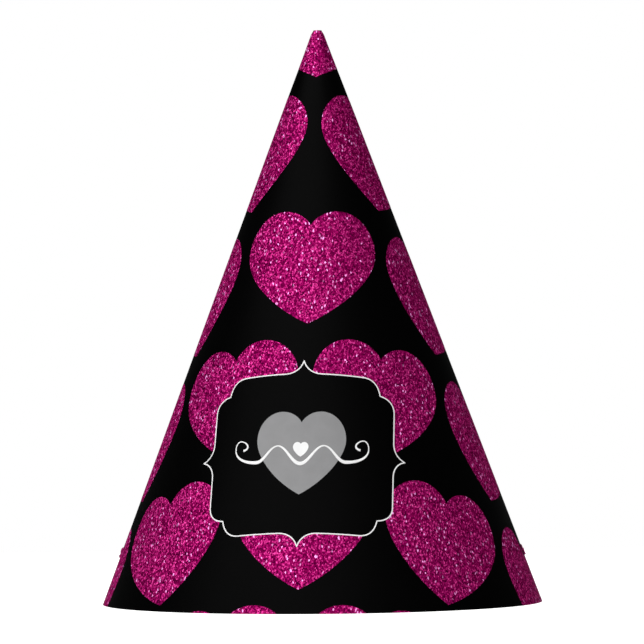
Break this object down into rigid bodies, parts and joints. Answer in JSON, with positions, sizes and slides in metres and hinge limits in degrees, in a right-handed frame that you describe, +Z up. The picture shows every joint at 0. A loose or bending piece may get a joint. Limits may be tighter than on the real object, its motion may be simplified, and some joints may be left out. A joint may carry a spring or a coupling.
{
  "type": "party hat",
  "caption": "Cone-shaped paperboard party hat with a heart print, an ornamental label, a lap seam and an elastic chin cord.",
  "frame": {"origin": "centre of the rim, on the surface that the hat stands on", "axes": "+Z up along the cone's axis to its tip, -Y to the front, +X to the right seen from the front; the seam is at +Y"},
  "size_m": [0.13, 0.13, 0.17],
  "materials": {
    "paperboard": "satin coated print on white board",
    "tape": "clear adhesive film",
    "elastic": "braided covering"
  },
  "bodies": {
    "root": {"printed_cone": "paperboard", "seam_tape": "tape", "elastic_cord": "elastic", "right_knot": "elastic", "left_knot": "elastic"}
  },
  "joints": []
}
